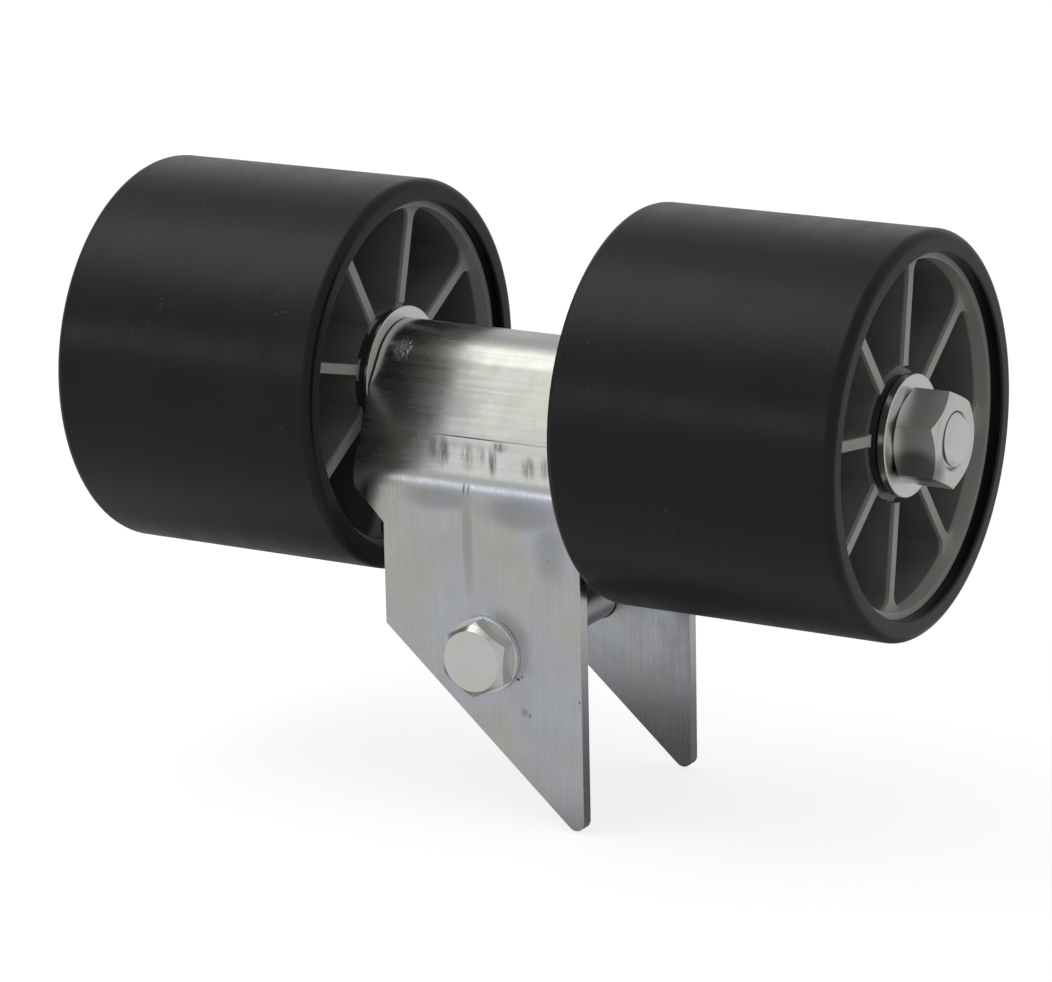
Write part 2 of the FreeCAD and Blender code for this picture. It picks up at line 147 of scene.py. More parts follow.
class HubSettings(bpy.types.PropertyGroup):
    """Ribbed hubs and their flanged bushes."""

    colour: colour_value("Hub", "Colour of the moulded hubs", (0.225, 0.220, 0.206))
    # Painted light: the end faces of ribs and rims are lighter, in place of the light that falls on
    # them; deeper down the darker hub colour stands in for the shade in the pockets
    painted_light_colour: colour_value("Hub edges", "Colour of the scuffed edges of ribs and rims",
                              (0.500, 0.495, 0.470))
    shade_colour: colour_value("Hub shade", "Colour of the duller patches", (0.190, 0.185, 0.174))
    dust_colour: colour_value("Dust", "Colour of the dust in the hubs", (0.40, 0.39, 0.36))
    bush_colour: colour_value("Bush", "Colour of the bushes", (0.036, 0.037, 0.036))
    pale_bush_colour: colour_value("Bush patches", "Colour of the bushes' paler patches",
                                   (0.050, 0.051, 0.049))
    roughness: share_value("Roughness", "Roughness of the hubs", 0.38)
    edge_round: length_value("Edge", "Rounding of the moulded edges", 0.45 * MM)
    bush_round: length_value("Bush edge", "Rounding of the bushes' edges", 0.3 * MM)
    # Depths under the end faces where the painted light fades into the painted shade of the pockets
    painted_light_start: length_value("Scuffs start", "Depth under a hub's end face where the scuffed "
                              "edges start to fade", 4.9 * MM)
    painted_light_end: length_value("Scuffs end", "Depth where the scuffed edges end", 5.9 * MM)


class PlateSettings(bpy.types.PropertyGroup):
    """Folded bracket and the tube under its saddle."""

    colour: colour_value("Zinc", "Colour of the plated sheet", (0.560, 0.577, 0.602))
    # Partly painted reflection: the cheeks' cooler tint stands in for the cool light that they mirror
    cheek_colour: colour_value("Cheek zinc", "Colour of the cooler zinc on the cheeks",
                               (0.580, 0.600, 0.660))
    warm_colour: colour_value("Yellowed zinc", "Colour of the yellowed patches",
                              (0.600, 0.595, 0.560))
    line_colour: colour_value("Lines", "Colour of the rolling lines and clouds",
                              (0.26, 0.27, 0.29))
    # Colours the real smudges, marks and scribed line, and also the painted shade clouds on the upper
    # cheek
    stain_and_shade_colour: colour_value("Stain", "Colour of smudges and the scribed line",
                               (0.090, 0.090, 0.088))
    roughness: share_value("Roughness", "Roughness of the sheet", 0.21)
    edge_round: length_value("Edge", "Rounding of the sheet's cut edges", 0.35 * MM)
    tube_round: length_value("Tube edge", "Rounding of the tube's outer edges", 0.4 * MM)
    bore_round: length_value("Bore edge", "Rounding of the tube's inner edges", 0.3 * MM)
    fold_low: length_value("Fold starts", "Height where the cheeks' upright scratches fade",
                           56 * MM)
    fold_high: length_value("Fold ends", "Height where the fold's rolling lines are full",
                            66 * MM)


class FastenerSettings(bpy.types.PropertyGroup):
    """Bolts, nuts and washers."""

    colour: colour_value("Bright zinc", "Colour of the fasteners", (0.740, 0.760, 0.790))
    warm_colour: colour_value("Yellowed zinc", "Colour of the yellowed facets",
                              (0.740, 0.735, 0.680))
    # Painted shade: darkens the axle nut's lower front facet, in place of the dark reflection that it
    # shows
    nut_painted_shade_colour: colour_value("Soiled zinc", "Colour of the soiled lower facet of the axle nut",
                              (0.200, 0.200, 0.200))
    pit_colour: colour_value("Pits", "Colour of the fine pits", (0.22, 0.22, 0.23))
    roughness: share_value("Roughness", "Roughness of the bolts and washers", 0.30)
    nut_roughness: share_value("Nut roughness", "Roughness of the nuts' duller facets", 0.42)
    edge_round: length_value("Edge", "Rounding of the fasteners' edges", 0.22 * MM)
    washer_round: length_value("Washer edge", "Rounding of the washers' punched edges", 0.45 * MM)
    axle_pitch: length_value("Axle pitch", "Thread pitch of the axle bolt", 2.5 * MM)
    pivot_pitch: length_value("Pivot pitch", "Thread pitch of the pivot bolt", 2.0 * MM)
    head_flat: length_value("Head flat", "Radius of the round flat on the pivot bolt's head",
                            10.9 * MM)
    head_drop: length_value("Head drop", "How far the corners of the pivot bolt's head are set "
                            "back from the chamfer that its size asks for", 1.1 * MM)


class StageSettings(bpy.types.PropertyGroup):
    """Floor, lamps and camera."""

    floor_colour: colour_value("Floor", "Colour of the floor", (0.50, 0.50, 0.50))
    floor_glow: FloatProperty(name="Floor glow", description="White that the floor adds in the "
                              "camera's view", default=0.76, min=0)
    floor_gap: length_value("Floor gap", "Space between the floor and the part's lowest point",
                            1.0 * MM)
    floor_size: length_value("Floor size", "Length of the floor's sides", 30)
    world_level: FloatProperty(name="World", description="Strength of the surrounding light",
                               default=0.46, min=0)
    mirror_share: share_value("Mirrored white", "How much of the white background metal shows",
                              0.18)
    mirror_floor: share_value("Mirrored floor", "How much of the floor's glow metal shows", 0.42)
    camera_place: FloatVectorProperty(
        name="Camera", description="Where the camera stands", size=3, subtype="TRANSLATION",
        unit="LENGTH", default=(0.7824, -1.3289, 0.4701))
    camera_turn: FloatProperty(name="Turn", description="Camera's turn about the upright",
                               default=math.radians(30.72), subtype="ANGLE")
    camera_rise: FloatProperty(name="Rise", description="Camera's angle above the horizon",
                               default=math.radians(15.288), subtype="ANGLE")
    camera_roll: FloatProperty(name="Roll", description="Camera's turn about its own view",
                               default=math.radians(-1.19), subtype="ANGLE")
    camera_lens: FloatProperty(name="Lens", description="Focal length in millimetres on a 36 mm "
                               "wide sensor", default=155.22, min=1)


SETTINGS = {
    "roller_rubber": RubberSettings,
    "roller_hub": HubSettings,
    "roller_plate": PlateSettings,
    "roller_fastener": FastenerSettings,
    "roller_stage": StageSettings,
}


# Modelling helpers


def take(piece):
    """Make a piece the only selected and the active one."""
    bpy.ops.object.select_all(action="DESELECT")
    piece.select_set(True)
    bpy.context.view_layer.objects.active = piece


def edit_mesh(piece, kind):
    """Open a piece in edit mode with nothing selected; kind is VERT, EDGE or FACE."""
    take(piece)
    bpy.ops.object.mode_set(mode="EDIT")
    bpy.ops.mesh.select_mode(type=kind)
    bpy.ops.mesh.select_all(action="DESELECT")


def close_mesh():
    """Leave edit mode."""
    bpy.ops.object.mode_set(mode="OBJECT")


def pick(piece, kind, wanted):
    """In edit mode select only the faces, edges or vertices that a test accepts."""
    bpy.ops.mesh.select_mode(type=kind)
    bpy.ops.mesh.select_all(action="DESELECT")
    mesh = bmesh.from_edit_mesh(piece.data)
    items = {"FACE": mesh.faces, "EDGE": mesh.edges, "VERT": mesh.verts}[kind]
    for item in items:
        if wanted(item):
            item.select_set(True)
    mesh.select_flush_mode()
    bmesh.update_edit_mesh(piece.data)


def apply_modifier(piece, kind, **settings):
    """Add a modifier with its settings and apply it."""
    take(piece)
    modifier = piece.modifiers.new(kind.title(), kind)
    for name, value in settings.items():
        setattr(modifier, name, value)
    bpy.ops.object.modifier_apply(modifier=modifier.name)


def smooth(piece):
    """Smooth shading that leaves flat faces flat beside their rounded edges."""
    take(piece)
    bpy.ops.object.shade_smooth_by_angle(angle=math.radians(SMOOTH_ANGLE))
    apply_modifier(piece, "WEIGHTED_NORMAL", keep_sharp=True, weight=100)


def off_axis(point, centre, along):
    """Distance of a point from the axis through centre."""
    arm = point - centre
    return (arm - along * arm.dot(along)).length


def reach(node, centre, along):
    """Smallest and largest distance of a node's vertices from an axis."""
    spans = [off_axis(vertex.co, centre, along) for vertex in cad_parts[node].data.vertices]
    return min(spans), max(spans)


def cylinder(name, radius, start, end, centre, along, sides):
    """Closed cylinder about an axis between two places along it, its place in its mesh."""
    turn = (0, math.radians(90), 0) if along.x else (math.radians(-90), 0, 0)
    middle = centre + along * ((start + end) / 2 - centre.dot(along))
    bpy.ops.object.select_all(action="DESELECT")
    bpy.ops.mesh.primitive_cylinder_add(vertices=sides, radius=radius, depth=end - start,
                                        end_fill_type="NGON", location=middle, rotation=turn)
    piece = bpy.context.active_object
    piece.name = name
    piece.data.name = name
    bpy.ops.object.transform_apply(location=True, rotation=True, scale=True)
    return piece


def turned_ring(name, node, centre, along, outer_round, inner_round, sides=128, steps=4):
    """Ring of a node's size, modelled from a cylinder: its ends are inset, the bore is bridged
    and the rims are rounded."""
    inner, outer = reach(node, centre, along)
    low, high = (corner.dot(along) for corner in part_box(node))
    piece = cylinder(name, outer, low, high, centre, along, sides)
    edit_mesh(piece, "FACE")
    pick(piece, "FACE", lambda face: abs(face.normal.dot(along)) > FACING)
    bpy.ops.mesh.inset(thickness=(outer - inner) * math.cos(math.pi / sides))
    bpy.ops.mesh.bridge_edge_loops()
    for radius, rounding, segments in ((outer, outer_round, steps * 2), (inner, inner_round, steps)):
        if rounding:
            pick(piece, "EDGE", lambda edge: on_rim(edge, radius, centre, along))
            bpy.ops.mesh.bevel(offset=rounding, segments=segments, profile=0.5, affect="EDGES")
    close_mesh()
    smooth(piece)
    return piece


def on_rim(edge, radius, centre, along):
    """Edge that runs round an axis at a radius and ends a face that looks along the axis."""
    first, last = (vertex.co for vertex in edge.verts)
    level = abs((first - last).dot(along)) < MERGE_DISTANCE
    near = all(abs(off_axis(place, centre, along) - radius) < radius * RIM_TOLERANCE
               for place in (first, last))
    ends = any(abs(face.normal.dot(along)) > FACING for face in edge.link_faces)
    return level and near and ends


def dressed_copy(node, name, edge_round):
    """Copy of a node's form with its triangles merged and its edges rounded as on the real piece."""
    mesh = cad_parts[node].data.copy()
    mesh.name = name
    piece = bpy.data.objects.new(name, mesh)
    bpy.context.scene.collection.objects.link(piece)
    piece.data.materials.clear()
    edit_mesh(piece, "VERT")
    bpy.ops.mesh.select_all(action="SELECT")
    bpy.ops.mesh.customdata_custom_splitnormals_clear()
    bpy.ops.mesh.remove_doubles(threshold=MERGE_DISTANCE)
    bpy.ops.mesh.dissolve_limited(angle_limit=math.radians(FLAT_ANGLE))
    close_mesh()
    apply_modifier(piece, "BEVEL", width=edge_round, segments=BEVEL_SEGMENTS,
                   limit_method="ANGLE", angle_limit=math.radians(BEVEL_ANGLE),
                   use_clamp_overlap=True)
    smooth(piece)
    return piece


def finish_piece(piece, body, material, slot, *nodes):
    """Give a piece its material and body, and hide the nodes that it stands for. The slot is not used.
    """
    piece.data.materials.clear()
    piece.data.materials.append(material)
    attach(piece, body)
    if nodes:
        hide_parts(*nodes)
    return piece


# Shader helpers


def add_node(tree, kind, sockets=None, **settings):
    """Shader node with its settings, and its sockets set to values or linked to outputs."""
    node = tree.nodes.new("ShaderNode" + kind)
    for name, value in settings.items():
        setattr(node, name, value)
    for name, value in (sockets or {}).items():
        join(tree, value, node.inputs[name])
    return node


def join(tree, value, socket):
    """Link an output to a socket, or set the socket to a plain value."""
    if isinstance(value, bpy.types.NodeSocket):
        tree.links.new(value, socket)
    elif socket.type == "RGBA" and len(value) == 3:
        socket.default_value = (*value, 1)
    else:
        socket.default_value = value


def maths(tree, operation, first, second=None):
    """Result of one sum on one or two values."""
    sockets = {0: first} if second is None else {0: first, 1: second}
    return add_node(tree, "Math", sockets, operation=operation).outputs[0]


def strongest(tree, shares):
    """Largest of several shares."""
    return functools.reduce(lambda first, second: maths(tree, "MAXIMUM", first, second), shares)


def ramp(tree, value, low, high, start=0.0, end=1.0):
    """Value mapped smoothly from one span to another and held at its ends."""
    sockets = {"Value": value, "From Min": low, "From Max": high, "To Min": start, "To Max": end}
    return add_node(tree, "MapRange", sockets, interpolation_type="SMOOTHSTEP",
                    clamp=True).outputs[0]


def blend(tree, share, first, second):
    """Colour between two colours by a share."""
    node = add_node(tree, "Mix", {0: share}, data_type="RGBA", blend_type="MIX")
    join(tree, first, node.inputs[6])
    join(tree, second, node.inputs[7])
    return node.outputs[2]


def between(tree, share, first, second):
    """Value between two values by a share."""
    node = add_node(tree, "Mix", {0: share, 2: first, 3: second}, data_type="FLOAT")
    return node.outputs[0]


def stretch(tree, vector, scale):
    """Coordinates scaled apart along each axis."""
    return add_node(tree, "Mapping", {"Vector": vector, "Scale": scale}).outputs["Vector"]


def noise(tree, vector, scale, detail=3.0, roughness=0.55):
    """Cloudy value about one half."""
    sockets = {"Vector": vector, "Scale": scale, "Detail": detail, "Roughness": roughness}
    return add_node(tree, "TexNoise", sockets).outputs["Fac"]


def bump(tree, height, distance, strength=1.0, normal=None):
    """Normal bent by a height, on top of another normal where one is given."""
    sockets = {"Height": height, "Distance": distance, "Strength": strength}
    if normal is not None:
        sockets["Normal"] = normal
    return add_node(tree, "Bump", sockets).outputs["Normal"]


def new_material(name):
    """Material with its node tree, its shader and the object's own coordinates."""
    material = bpy.data.materials.new(name)
    material.use_nodes = True
    tree = material.node_tree
    place = add_node(tree, "TexCoord").outputs["Object"]
    return material, tree, tree.nodes["Principled BSDF"], place


def new_group(name, inputs, outputs):
    """Shader node group with named inputs and outputs, each a (name, socket kind) pair."""
    tree = bpy.data.node_groups.new(name, "ShaderNodeTree")
    for title, kind in inputs:
        tree.interface.new_socket(name=title, in_out="INPUT", socket_type="NodeSocket" + kind)
    for title, kind in outputs:
        tree.interface.new_socket(name=title, in_out="OUTPUT", socket_type="NodeSocket" + kind)
    entry = tree.nodes.new("NodeGroupInput")
    leave = tree.nodes.new("NodeGroupOutput")
    return tree, entry.outputs, leave.inputs


def use_group(tree, name, **sockets):
    """Place a shared effect in a material and set its inputs."""
    node = tree.nodes.new("ShaderNodeGroup")
    node.node_tree = bpy.data.node_groups[name]
    for title, value in sockets.items():
        join(tree, value, node.inputs[title.replace("_", " ").capitalize()])
    return node.outputs


def mark(tree, place, spec, softness=0.7):
    """Share of one mark: its place, reach and strength."""
    centre, span, strength = spec
    share = use_group(tree, "Spot", vector=place, place=centre, reach=span,
                      softness=softness)["Share"]
    return maths(tree, "MULTIPLY", share, strength)


# Effects that several finishes share


def make_patches():
    """Soft patches that wander over a surface."""
    tree, given, result = new_group(
        "Patches", (("Vector", "Vector"), ("Scale", "Float"), ("Edge", "Float")),
        (("Share", "Float"),))
    cloud = noise(tree, given["Vector"], given["Scale"], detail=4.0, roughness=0.6)
    low = maths(tree, "SUBTRACT", 0.5, given["Edge"])
    high = maths(tree, "ADD", 0.5, given["Edge"])
    join(tree, ramp(tree, cloud, low, high), result["Share"])


def make_specks():
    """Small round specks that gather in clusters."""
    tree, given, result = new_group(
        "Specks", (("Vector", "Vector"), ("Scale", "Float"), ("Size", "Float"),
                   ("Cluster scale", "Float"), ("Cluster share", "Float")),
        (("Share", "Float"),))
    cells = add_node(tree, "TexVoronoi", {"Vector": given["Vector"], "Scale": given["Scale"],
                                          "Randomness": 1.0})
    spread = add_node(tree, "SeparateColor", {"Color": cells.outputs["Color"]})
    size = maths(tree, "MULTIPLY", given["Size"], spread.outputs["Red"])
    dot = maths(tree, "LESS_THAN", cells.outputs["Distance"], size)
    cluster = noise(tree, given["Vector"], given["Cluster scale"], detail=2.0)
    inside = maths(tree, "GREATER_THAN", cluster, given["Cluster share"])
    join(tree, maths(tree, "MULTIPLY", dot, inside), result["Share"])


def make_spot():
    """One soft-edged mark about a place, its reach along each axis given apart."""
    tree, given, result = new_group(
        "Spot", (("Vector", "Vector"), ("Place", "Vector"), ("Reach", "Vector"),
                 ("Softness", "Float")),
        (("Share", "Float"),))
    arm = add_node(tree, "VectorMath", {0: given["Vector"], 1: given["Place"]},
                   operation="SUBTRACT").outputs[0]
    scaled = add_node(tree, "VectorMath", {0: arm, 1: given["Reach"]},
                      operation="DIVIDE").outputs[0]
    away = add_node(tree, "VectorMath", {0: scaled}, operation="LENGTH").outputs["Value"]
    inner = maths(tree, "SUBTRACT", 1.0, given["Softness"])
    join(tree, ramp(tree, away, inner, 1.0, 1.0, 0.0), result["Share"])


def make_grain():
    """Fine streaks of brushed or rolled metal: height for the bump and a share for the tone."""
    tree, given, result = new_group(
        "Grain", (("Vector", "Vector"), ("Fine scale", "Float"), ("Broad scale", "Float")),
        (("Height", "Float"), ("Tone", "Float")))
    fine = noise(tree, given["Vector"], given["Fine scale"], detail=4.0, roughness=0.7)
    broad = noise(tree, given["Vector"], given["Broad scale"], detail=2.0)
    join(tree, maths(tree, "ADD", fine, maths(tree, "MULTIPLY", broad, 0.4)), result["Height"])
    join(tree, ramp(tree, broad, 0.34, 0.66), result["Tone"])


GROUPS = {"Patches": make_patches, "Specks": make_specks, "Spot": make_spot, "Grain": make_grain}


def shared_effects():
    """Build each shared effect once."""
    for name, make in GROUPS.items():
        if name not in bpy.data.node_groups:
            make()


# Finishes


# Marks: place, reach and strength, in metres and shares
SCRIBED_LINES = (
    ((-0.0105, -0.0317, 0.07395), (0.0190, 0.0012, 0.00024), 0.90),
    ((0.0010, -0.0316, 0.07410), (0.0310, 0.0014, 0.00020), 0.45),
)
SMEAR_LEAN = 0.37
SMEARS = (
    ((-0.0198, -0.0350, 0.0692), (0.0034, 0.0070, 0.0072), 0.58),
    ((-0.0238, -0.0346, 0.0698), (0.0032, 0.0062, 0.0064), 0.42),
    ((-0.0098, -0.0354, 0.0686), (0.0036, 0.0070, 0.0068), 0.36),
    ((-0.0044, -0.0352, 0.0692), (0.0026, 0.0064, 0.0060), 0.34),
    ((0.0003, -0.0358, 0.0680), (0.0023, 0.0074, 0.0078), 0.62),
    ((0.0030, -0.0328, 0.0723), (0.0044, 0.0034, 0.0026), 0.50),
    ((0.0147, -0.0362, 0.0674), (0.0038, 0.0056, 0.0058), 0.46),
    ((0.0210, -0.0360, 0.0676), (0.0030, 0.0054, 0.0052), 0.40),
)
FAINT_MARK = ((0.0151, -0.0415, -0.0194), (0.0021, 0.0010, 0.0022), 0.45)
CHEEK_MARKS = (
    ((0.0172, -0.0415, -0.0203), (0.0009, 0.0010, 0.0010), 0.55),
    ((0.0127, -0.0415, -0.0076), (0.0011, 0.0010, 0.0007), 0.98),
    ((0.0142, -0.0415, -0.0066), (0.0006, 0.0010, 0.0005), 0.95),
    ((0.0257, -0.0415, 0.0366), (0.0005, 0.0010, 0.0005), 0.90),
    ((0.0370, -0.0415, -0.0125), (0.0004, 0.0010, 0.0010), 0.80),
)
CHEEK_STRIPES = (
    ((-0.0066, -0.0415, 0.0400), (0.0022, 0.0030, 0.0260), 0.26),
    ((-0.0081, -0.0415, 0.0410), (0.0006, 0.0030, 0.0230), 0.26),
    ((-0.0051, -0.0415, 0.0400), (0.0006, 0.0030, 0.0230), 0.22),
    ((-0.0079, -0.0408, 0.0580), (0.0005, 0.0030, 0.0034), 0.70),
    ((-0.0060, -0.0408, 0.0580), (0.0005, 0.0030, 0.0030), 0.60),
)
# Painted shade: darker clouds on the upper cheek, in place of its reflection darkening towards the top
CHEEK_PAINTED_SHADE = (
    ((0.0150, -0.0415, 0.0520), (0.0220, 0.0030, 0.0085), 0.36),
    ((0.0260, -0.0415, 0.0400), (0.0090, 0.0030, 0.0150), 0.26),
    ((-0.0180, -0.0415, 0.0540), (0.0190, 0.0030, 0.0060), 0.30),
)
# Painted shade on the axle nut's lower front facet: place, reach and strength
NUT_PAINTED_SHADE = ((0.1515, -0.0130, 0.0775), (0.0130, 0.0095, 0.0095), 0.85)
MOTTLED_PATCH = ((-0.0475, -0.0145, 0.0985), (0.0060, 0.0070, 0.0080), 1.0)
RUBBER_SCUFFS = (
    ((-0.0711, -0.0666, 0.1066), (0.0045, 0.0030, 0.0050), 1.0),
    ((-0.0745, -0.0660, 0.1085), (0.0018, 0.0030, 0.0030), 0.8),
    ((0.1052, -0.0464, 0.1374), (0.0028, 0.0030, 0.0012), 0.7),
)


def rubber_finish(settings):
    """Satin black rubber with faint turning marks, handled patches and a little dust."""
    material, tree, shader, place = new_material("Black rubber")
    handled = use_group(tree, "Patches", vector=place, scale=34.0, edge=0.16)["Share"]
    dust = use_group(tree, "Specks", vector=place, scale=520.0, size=0.15, cluster_scale=42.0,
                     cluster_share=0.63)["Share"]
    base = blend(tree, handled, tuple(settings.colour), tuple(settings.worn_colour))
    join(tree, blend(tree, maths(tree, "MULTIPLY", dust, 0.65), base, tuple(settings.dust_colour)),
         shader.inputs["Base Color"])
    torn = strongest(tree, [mark(tree, place, spec) for spec in RUBBER_SCUFFS])
    scuff = noise(tree, stretch(tree, place, (1.0, 0.35, 0.35)), 120.0, detail=5.0, roughness=0.65)
    gloss = maths(tree, "ADD", ramp(tree, scuff, 0.35, 0.7, -0.02, 0.04),
                  ramp(tree, handled, 0.0, 1.0, -0.01, 0.03))
    join(tree, maths(tree, "ADD", gloss, settings.roughness), shader.inputs["Roughness"])
    turning = noise(tree, stretch(tree, place, (1.0, 0.03, 0.03)), 900.0, detail=3.0)
    waves = noise(tree, place, 26.0, detail=2.0)
    first = bump(tree, waves, 0.0004, 0.25)
    second = bump(tree, turning, 0.00003, 0.5, first)
    ragged = maths(tree, "MULTIPLY", torn, noise(tree, place, 900.0, detail=3.0))
    third = bump(tree, ragged, 0.0004, 0.6, second)
    join(tree, bump(tree, scuff, 0.00006, 0.5, third), shader.inputs["Normal"])
    shader.inputs["Specular IOR Level"].default_value = settings.shine
    return material


def hub_depth(tree, place):
    """Depth of a point below the end faces of its hub."""
    left, right = (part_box("hub_" + side) for side in SIDES)
    middle = (left[0].x + right[1].x) / 2
    spacing = (right[0].x + right[1].x) / 2 - middle
    across = add_node(tree, "SeparateXYZ", {"Vector": place}).outputs["X"]
    from_middle = maths(tree, "ABSOLUTE", maths(tree, "SUBTRACT", across, middle))
    from_hub = maths(tree, "ABSOLUTE", maths(tree, "SUBTRACT", from_middle, spacing))
    return maths(tree, "SUBTRACT", (right[1].x - right[0].x) / 2, from_hub)


def hub_finish(settings):
    """Grey moulded plastic, a little glossy, with soft flow patches, fine dust and painted light on the
    end faces of ribs and rims; deeper surfaces keep the darker hub colour as painted shade.
    """
    material, tree, shader, place = new_material("Moulded hub")
    flow = use_group(tree, "Patches", vector=place, scale=48.0, edge=0.22)["Share"]
    dust = use_group(tree, "Specks", vector=place, scale=700.0, size=0.12, cluster_scale=60.0,
                     cluster_share=0.58)["Share"]
    base = blend(tree, flow, tuple(settings.colour), tuple(settings.shade_colour))
    # Painted light: lighter near the hub's end faces, fading with depth into the darker hub colour as
    # painted shade
    edge = ramp(tree, hub_depth(tree, place), settings.painted_light_start, settings.painted_light_end, 1.0, 0.0)
    base = blend(tree, edge, base, tuple(settings.painted_light_colour))
    join(tree, blend(tree, maths(tree, "MULTIPLY", dust, 0.35), base, tuple(settings.dust_colour)),
         shader.inputs["Base Color"])
    skin = noise(tree, place, 1600.0, detail=2.0)
    join(tree, maths(tree, "ADD", ramp(tree, skin, 0.3, 0.7, -0.05, 0.06), settings.roughness),
         shader.inputs["Roughness"])
    join(tree, bump(tree, skin, 0.00002, 0.5), shader.inputs["Normal"])
    return material


def bush_finish(settings):
    """Smooth black bush plastic with turning marks."""
    material, tree, shader, place = new_material("Bush plastic")
    rings = noise(tree, stretch(tree, place, (0.2, 1.0, 1.0)), 900.0, detail=3.0)
    tone = use_group(tree, "Patches", vector=place, scale=90.0, edge=0.2)["Share"]
    join(tree, blend(tree, tone, tuple(settings.bush_colour), tuple(settings.pale_bush_colour)),
         shader.inputs["Base Color"])
    join(tree, ramp(tree, rings, 0.3, 0.7, 0.34, 0.46), shader.inputs["Roughness"])
    join(tree, bump(tree, rings, 0.00002, 0.6), shader.inputs["Normal"])
    return material


def plate_finish(settings):
    """Zinc-plated sheet: rolling lines on the fold, upright scratches on the cheeks, yellowed patches,
    smudges, a scribed line, painted shade clouds on the upper cheek and a painted cool reflection tint
    on the cheeks."""
    material, tree, shader, place = new_material("Zinc plate")
    height = add_node(tree, "SeparateXYZ", {"Vector": place}).outputs["Z"]
    folded = ramp(tree, height, settings.fold_low, settings.fold_high)
    scratched = use_group(tree, "Grain", vector=stretch(tree, place, (1.0, 0.028, 0.028)),
                          fine_scale=2600.0, broad_scale=900.0)
    rolled = use_group(tree, "Grain", vector=stretch(tree, place, (0.035, 1.0, 1.0)),
                       fine_scale=2200.0, broad_scale=620.0)
    lines = between(tree, folded, scratched["Tone"], rolled["Tone"])
    depth = between(tree, folded, scratched["Height"], rolled["Height"])
    yellowed = use_group(tree, "Patches", vector=place, scale=38.0, edge=0.14)["Share"]
    cloudy = use_group(tree, "Patches", vector=place, scale=85.0, edge=0.2)["Share"]
    # Cheeks cooler than the fold: a painted reflection tint
    clean = blend(tree, folded, tuple(settings.cheek_colour), tuple(settings.colour))
    base = blend(tree, yellowed, clean, tuple(settings.warm_colour))
    tone = maths(tree, "ADD", maths(tree, "MULTIPLY", lines, 0.07),
                 maths(tree, "MULTIPLY", cloudy, 0.12))
    base = blend(tree, tone, base, tuple(settings.line_colour))
    shift = maths(tree, "MULTIPLY", maths(tree, "SUBTRACT", height, SMEARS[0][0][2]), SMEAR_LEAN)
    aside = add_node(tree, "CombineXYZ", {"X": shift}).outputs["Vector"]
    leaning = add_node(tree, "VectorMath", {0: place, 1: aside}, operation="ADD").outputs["Vector"]
    ragged = ramp(tree, noise(tree, stretch(tree, leaning, (1.0, 0.10, 0.10)), 1300.0, detail=5.0),
                  0.34, 0.56)
    torn = maths(tree, "ADD", ragged, 0.20)
    stains_and_shade = [mark(tree, place, FAINT_MARK, softness=0.9)]
    stains_and_shade += [mark(tree, place, spec) for spec in CHEEK_MARKS + CHEEK_STRIPES + CHEEK_PAINTED_SHADE]
    stains_and_shade += [mark(tree, place, spec, softness=0.5) for spec in SCRIBED_LINES]
    stains_and_shade += [maths(tree, "MULTIPLY", mark(tree, leaning, spec, softness=0.8), torn)
               for spec in SMEARS]
    # Real smudges, marks and the scribed line, together with the painted shade on the upper cheek
    stain_and_shade = strongest(tree, stains_and_shade)
    join(tree, blend(tree, stain_and_shade, base, tuple(settings.stain_and_shade_colour)), shader.inputs["Base Color"])
    dull = maths(tree, "ADD", maths(tree, "MULTIPLY", cloudy, 0.07),
                 maths(tree, "MULTIPLY", stain_and_shade, 0.25))
    dull = maths(tree, "ADD", dull, maths(tree, "MULTIPLY", lines, 0.05))
    join(tree, maths(tree, "ADD", dull, settings.roughness), shader.inputs["Roughness"])
    dents = maths(tree, "SUBTRACT", noise(tree, place, 560.0, detail=3.0), 0.5)
    hammered = maths(tree, "MULTIPLY", mark(tree, place, MOTTLED_PATCH, softness=0.9), dents)
    first = bump(tree, hammered, 0.0012, 1.0)
    second = bump(tree, noise(tree, place, 75.0, detail=2.0), 0.0003, 0.16, first)
    join(tree, bump(tree, depth, 0.00002, between(tree, folded, 0.40, 0.11), second),
         shader.inputs["Normal"])
    shader.inputs["Metallic"].default_value = 1.0
    return material


def fastener_finish(settings):
    """Bright zinc of the bolts and washers."""
    return zinc_finish("Bright zinc", settings, settings.roughness)


def nut_finish(settings):
    """Duller zinc of the nuts."""
    return zinc_finish("Dull zinc", settings, settings.nut_roughness)


def zinc_finish(name, settings, roughness):
    """Zinc on forged and punched steel, with fine pits and painted shade on the axle nut's lower front
    facet.
    """
    material, tree, shader, place = new_material(name)
    yellowed = use_group(tree, "Patches", vector=place, scale=95.0, edge=0.13)["Share"]
    pits = use_group(tree, "Specks", vector=place, scale=1100.0, size=0.26, cluster_scale=160.0,
                     cluster_share=0.58)["Share"]
    base = blend(tree, yellowed, tuple(settings.colour), tuple(settings.warm_colour))
    # Painted shade on the axle nut's lower front facet
    painted_shade = mark(tree, place, NUT_PAINTED_SHADE, softness=0.5)
    base = blend(tree, painted_shade, base, tuple(settings.nut_painted_shade_colour))
    join(tree, blend(tree, maths(tree, "MULTIPLY", pits, 0.14), base, tuple(settings.pit_colour)),
         shader.inputs["Base Color"])
    skin = noise(tree, place, 1300.0, detail=4.0, roughness=0.65)
    broad = noise(tree, place, 210.0, detail=2.0)
    join(tree, maths(tree, "ADD", ramp(tree, skin, 0.3, 0.7, -0.03, 0.06), roughness),
         shader.inputs["Roughness"])
    first = bump(tree, broad, 0.00016, 0.35)
    join(tree, bump(tree, skin, 0.000004, 0.25, first), shader.inputs["Normal"])
    shader.inputs["Metallic"].default_value = 1.0
    return material


